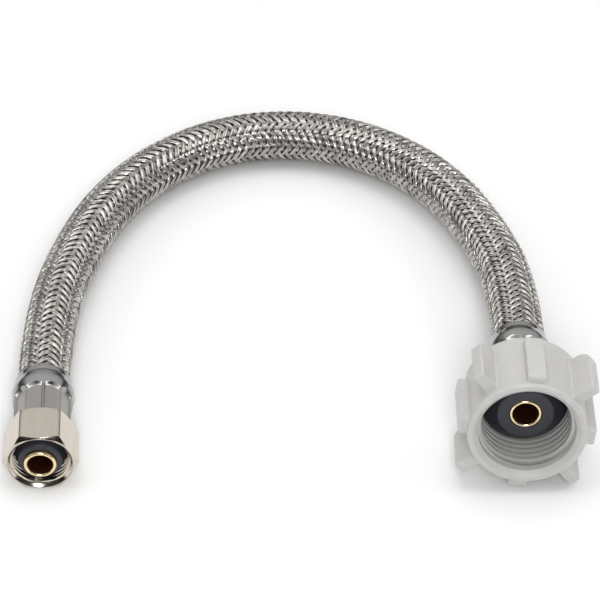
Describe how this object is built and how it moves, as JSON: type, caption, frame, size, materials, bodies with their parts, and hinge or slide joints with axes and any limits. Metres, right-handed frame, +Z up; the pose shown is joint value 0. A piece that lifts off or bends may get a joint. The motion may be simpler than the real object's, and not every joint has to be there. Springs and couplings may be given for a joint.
{
  "type": "braided supply line",
  "caption": "Flexible braided water connector with a hexagonal metal compression nut at one end and a winged plastic ballcock nut at the other, laid in a U.",
  "frame": {"origin": "on the surface that the line lies on, under the middle of its two end fittings", "axes": "+Z up, +X from the compression end to the ballcock end, -Y out of the mouths of both nuts, so the hose bends back through +Y"},
  "size_m": [0.1388, 0.1344, 0.0336],
  "materials": {
    "stainless_braid": "woven bright wire",
    "ferrule_steel": "bright, satin on its crimped flats",
    "nickel_plate": "nickel plated, semi-bright",
    "brass": "machined",
    "rubber": "matte moulded",
    "nut_plastic": "moulded acetal, light grey",
    "tube_plastic": "extruded"
  },
  "bodies": {
    "hose": {"braid_sleeve": "stainless_braid", "inner_tube": "tube_plastic", "compression_ferrule": "ferrule_steel", "ballcock_ferrule": "ferrule_steel", "compression_stem": "brass", "ballcock_stem": "brass"},
    "compression_seal": {"compression_seal": "rubber"},
    "compression_nut": {"compression_nut": "nickel_plate"},
    "cone_washer": {"cone_washer": "rubber"},
    "ballcock_nut": {"ballcock_nut": "nut_plastic"}
  },
  "joints": [
    {"name": "compression_slide", "type": "slide", "parent": "hose", "child": "compression_seal", "axis": [0, -1, 0], "range_m": [0, 0.0015]},
    {"name": "compression_spin", "type": "hinge", "parent": "compression_seal", "child": "compression_nut", "pos_m": [-0.06022, -0.00968, 0.00794], "axis": [0, -1, 0], "continuous": true},
    {"name": "ballcock_slide", "type": "slide", "parent": "hose", "child": "cone_washer", "axis": [-0.0115, -0.9944, 0.1046], "range_m": [0, 0.0012]},
    {"name": "ballcock_spin", "type": "hinge", "parent": "cone_washer", "child": "ballcock_nut", "pos_m": [0.05306, -0.00957, 0.01687], "axis": [-0.0115, -0.9944, 0.1046], "continuous": true}
  ]
}
